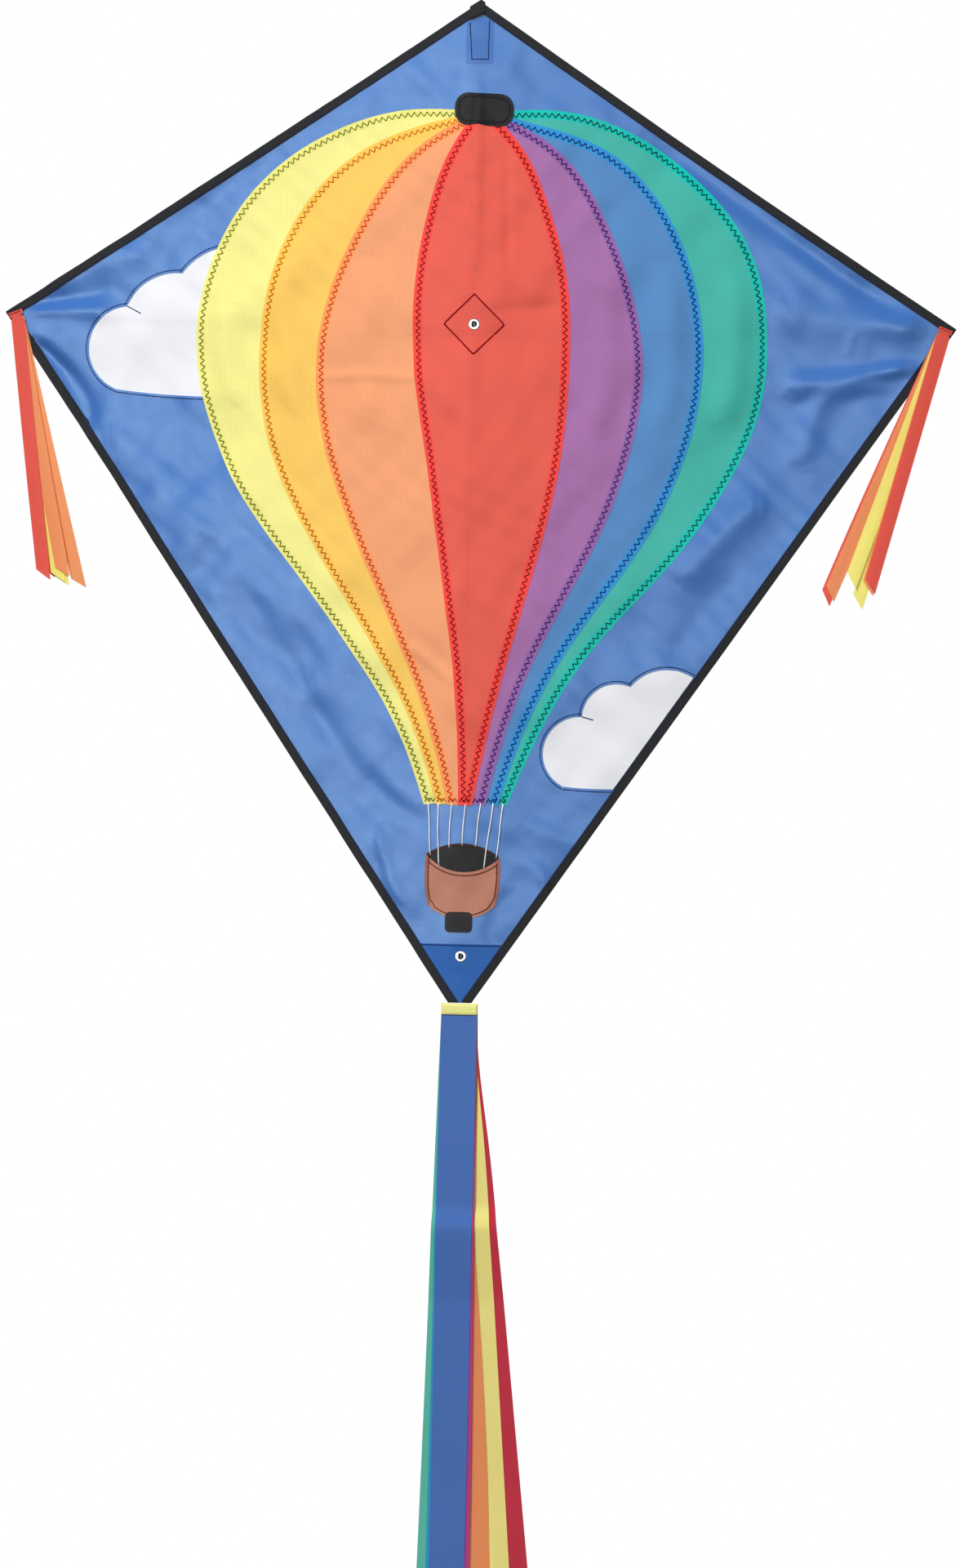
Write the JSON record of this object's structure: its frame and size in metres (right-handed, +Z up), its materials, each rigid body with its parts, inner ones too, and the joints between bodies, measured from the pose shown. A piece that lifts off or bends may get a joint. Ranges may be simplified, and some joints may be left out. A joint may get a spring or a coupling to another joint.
{
  "type": "diamond kite",
  "caption": "Diamond kite with a sewn hot-air balloon scene, a rod cross behind the folded sail, ribbon tassels at both wingtips and a streamer tail.",
  "frame": {"origin": "middle of the centre eyelet's bore, on the sail's middle surface", "axes": "+Z up the spine to the nose, -Y out of the front of the sail, +X to the right seen from the front"},
  "size_m": [0.8532, 0.0685, 1.6498],
  "materials": {
    "sky_cloth": "ripstop cloth",
    "white_cloth": "ripstop cloth",
    "yellow_cloth": "ripstop cloth",
    "gold_cloth": "ripstop cloth",
    "orange_cloth": "ripstop cloth",
    "red_cloth": "ripstop cloth",
    "purple_cloth": "ripstop cloth",
    "blue_cloth": "ripstop cloth",
    "green_cloth": "ripstop cloth",
    "brown_cloth": "ripstop cloth",
    "black_cloth": "ripstop cloth",
    "black_tape": "woven tape",
    "label_cloth": "ripstop cloth",
    "sky_reinforcement": "ripstop cloth",
    "white_thread": "thread",
    "ribbon_red": "ripstop cloth",
    "ribbon_orange": "ripstop cloth",
    "ribbon_yellow": "ripstop cloth",
    "tail_band_yellow": "ripstop cloth",
    "streamer_royal_blue": "ripstop cloth",
    "streamer_purple": "ripstop cloth",
    "streamer_sky_blue": "ripstop cloth",
    "streamer_green": "ripstop cloth",
    "streamer_red": "ripstop cloth",
    "streamer_orange": "ripstop cloth",
    "streamer_yellow": "ripstop cloth",
    "streamer_crimson": "ripstop cloth",
    "eyelet_metal": "polished",
    "black_fibreglass": "pultruded, glossy",
    "black_moulding": "moulded, matt",
    "black_vinyl": "soft vinyl"
  },
  "bodies": {
    "root": {"sail_field": "sky_cloth", "panel_yellow": "yellow_cloth", "panel_gold": "gold_cloth", "panel_orange": "orange_cloth", "panel_red": "red_cloth", "panel_purple": "purple_cloth", "panel_blue": "blue_cloth", "panel_green": "green_cloth", "cloud_left": "white_cloth", "cloud_right": "white_cloth", "crown_patch": "black_cloth", "basket": "brown_cloth", "basket_opening": "black_cloth", "label_patch": "label_cloth", "rigging_threads": "white_thread", "binding_upper_left": "black_tape", "binding_upper_right": "black_tape", "binding_lower_left": "black_tape", "binding_lower_right": "black_tape", "nose_tab": "black_tape", "centre_patch": "red_cloth", "tail_reinforcement": "sky_reinforcement", "nose_pocket": "sky_reinforcement", "tail_pocket": "sky_reinforcement", "wingtip_pocket_left": "black_cloth", "wingtip_pocket_right": "black_cloth", "spreader_left": "black_fibreglass", "spreader_right": "black_fibreglass", "spine": "black_fibreglass", "centre_connector": "black_moulding", "rod_caps": "black_vinyl", "centre_eyelet": "eyelet_metal", "lower_eyelet": "eyelet_metal", "eyelet_washers": "eyelet_metal"},
    "tail": {"tail_band": "tail_band_yellow"},
    "streamer_royal_blue": {"streamer_royal_blue": "streamer_royal_blue"},
    "streamer_purple": {"streamer_purple": "streamer_purple"},
    "streamer_sky_blue": {"streamer_sky_blue": "streamer_sky_blue"},
    "streamer_green": {"streamer_green": "streamer_green"},
    "streamer_red": {"streamer_red": "streamer_red"},
    "streamer_orange": {"streamer_orange": "streamer_orange"},
    "streamer_yellow": {"streamer_yellow": "streamer_yellow"},
    "streamer_crimson": {"streamer_crimson": "streamer_crimson"},
    "tassel_left": {"tassel_hem_left": "ribbon_red"},
    "tassel_left_red_back": {"tassel_left_red_back": "ribbon_red"},
    "tassel_left_orange_back": {"tassel_left_orange_back": "ribbon_orange"},
    "tassel_left_yellow_back": {"tassel_left_yellow_back": "ribbon_yellow"},
    "tassel_left_yellow_front": {"tassel_left_yellow_front": "ribbon_yellow"},
    "tassel_left_orange_front": {"tassel_left_orange_front": "ribbon_orange"},
    "tassel_left_red_front": {"tassel_left_red_front": "ribbon_red"},
    "tassel_right": {"tassel_hem_right": "ribbon_red"},
    "tassel_right_red_back": {"tassel_right_red_back": "ribbon_red"},
    "tassel_right_orange_back": {"tassel_right_orange_back": "ribbon_orange"},
    "tassel_right_yellow_back": {"tassel_right_yellow_back": "ribbon_yellow"},
    "tassel_right_yellow_front": {"tassel_right_yellow_front": "ribbon_yellow"},
    "tassel_right_orange_front": {"tassel_right_orange_front": "ribbon_orange"},
    "tassel_right_red_front": {"tassel_right_red_front": "ribbon_red"}
  },
  "joints": [
    {"name": "tail_swing", "type": "hinge", "parent": "root", "child": "tail", "pos_m": [0, 0, -0.6074], "axis": [1, 0, 0], "range_deg": [-75, 75]},
    {"name": "streamer_royal_blue_sway", "type": "hinge", "parent": "tail", "child": "streamer_royal_blue", "pos_m": [0, -0.0021, -0.6098], "axis": [0, -1, 0], "range_deg": [-15, 15]},
    {"name": "streamer_purple_sway", "type": "hinge", "parent": "tail", "child": "streamer_purple", "pos_m": [0, -0.0015, -0.6098], "axis": [0, -1, 0], "range_deg": [-15.1, 14.9]},
    {"name": "streamer_sky_blue_sway", "type": "hinge", "parent": "tail", "child": "streamer_sky_blue", "pos_m": [0, -0.0009, -0.6098], "axis": [0, -1, 0], "range_deg": [-14.9, 15.1]},
    {"name": "streamer_green_sway", "type": "hinge", "parent": "tail", "child": "streamer_green", "pos_m": [0, -0.0003, -0.6098], "axis": [0, -1, 0], "range_deg": [-13.6, 16.4]},
    {"name": "streamer_red_sway", "type": "hinge", "parent": "tail", "child": "streamer_red", "pos_m": [0, 0.0003, -0.6098], "axis": [0, -1, 0], "range_deg": [-15.5, 14.5]},
    {"name": "streamer_orange_sway", "type": "hinge", "parent": "tail", "child": "streamer_orange", "pos_m": [0, 0.0009, -0.6098], "axis": [0, -1, 0], "range_deg": [-17.5, 12.5]},
    {"name": "streamer_yellow_sway", "type": "hinge", "parent": "tail", "child": "streamer_yellow", "pos_m": [0, 0.0015, -0.6098], "axis": [0, -1, 0], "range_deg": [-19.5, 10.5]},
    {"name": "streamer_crimson_sway", "type": "hinge", "parent": "tail", "child": "streamer_crimson", "pos_m": [0, 0.0021, -0.6098], "axis": [0, -1, 0], "range_deg": [-21.4, 8.6]},
    {"name": "tassel_left_lift", "type": "hinge", "parent": "root", "child": "tassel_left", "pos_m": [-0.41709, 0.05649, 0.00532], "axis": [-0.9305, 0.1308, -0.342], "range_deg": [0, 85]},
    {"name": "tassel_left_red_back_sway", "type": "hinge", "parent": "tassel_left", "child": "tassel_left_red_back", "pos_m": [-0.41398, 0.05586, -0.00338], "axis": [-0.1392, -0.9903, 0], "range_deg": [-28.2, 36.8]},
    {"name": "tassel_left_orange_back_sway", "type": "hinge", "parent": "tassel_left", "child": "tassel_left_orange_back", "pos_m": [-0.41407, 0.05526, -0.00338], "axis": [-0.1392, -0.9903, 0], "range_deg": [-34.7, 30.3]},
    {"name": "tassel_left_yellow_back_sway", "type": "hinge", "parent": "tassel_left", "child": "tassel_left_yellow_back", "pos_m": [-0.41415, 0.05467, -0.00338], "axis": [-0.1392, -0.9903, 0], "range_deg": [-31.3, 33.7]},
    {"name": "tassel_left_yellow_front_sway", "type": "hinge", "parent": "tassel_left", "child": "tassel_left_yellow_front", "pos_m": [-0.41423, 0.05407, -0.00338], "axis": [-0.1392, -0.9903, 0], "range_deg": [-30.6, 34.4]},
    {"name": "tassel_left_orange_front_sway", "type": "hinge", "parent": "tassel_left", "child": "tassel_left_orange_front", "pos_m": [-0.41432, 0.05348, -0.00338], "axis": [-0.1392, -0.9903, 0], "range_deg": [-31.9, 33.1]},
    {"name": "tassel_left_red_front_sway", "type": "hinge", "parent": "tassel_left", "child": "tassel_left_red_front", "pos_m": [-0.4144, 0.05289, -0.00338], "axis": [-0.1392, -0.9903, 0], "range_deg": [-27.5, 37.5]},
    {"name": "tassel_right_lift", "type": "hinge", "parent": "root", "child": "tassel_right", "pos_m": [0.41709, 0.05649, 0.00532], "axis": [-0.9305, -0.1308, 0.342], "range_deg": [0, 85]},
    {"name": "tassel_right_red_back_sway", "type": "hinge", "parent": "tassel_right", "child": "tassel_right_red_back", "pos_m": [0.41398, 0.05586, -0.00338], "axis": [-0.1392, 0.9903, 0], "range_deg": [-43.7, 21.3]},
    {"name": "tassel_right_orange_back_sway", "type": "hinge", "parent": "tassel_right", "child": "tassel_right_orange_back", "pos_m": [0.41407, 0.05526, -0.00338], "axis": [-0.1392, 0.9903, 0], "range_deg": [-42.6, 22.4]},
    {"name": "tassel_right_yellow_back_sway", "type": "hinge", "parent": "tassel_right", "child": "tassel_right_yellow_back", "pos_m": [0.41415, 0.05467, -0.00338], "axis": [-0.1392, 0.9903, 0], "range_deg": [-36.7, 28.3]},
    {"name": "tassel_right_yellow_front_sway", "type": "hinge", "parent": "tassel_right", "child": "tassel_right_yellow_front", "pos_m": [0.41423, 0.05407, -0.00338], "axis": [-0.1392, 0.9903, 0], "range_deg": [-39.5, 25.5]},
    {"name": "tassel_right_orange_front_sway", "type": "hinge", "parent": "tassel_right", "child": "tassel_right_orange_front", "pos_m": [0.41432, 0.05348, -0.00338], "axis": [-0.1392, 0.9903, 0], "range_deg": [-35.5, 29.5]},
    {"name": "tassel_right_red_front_sway", "type": "hinge", "parent": "tassel_right", "child": "tassel_right_red_front", "pos_m": [0.4144, 0.05289, -0.00338], "axis": [-0.1392, 0.9903, 0], "range_deg": [-35.2, 29.8]}
  ]
}
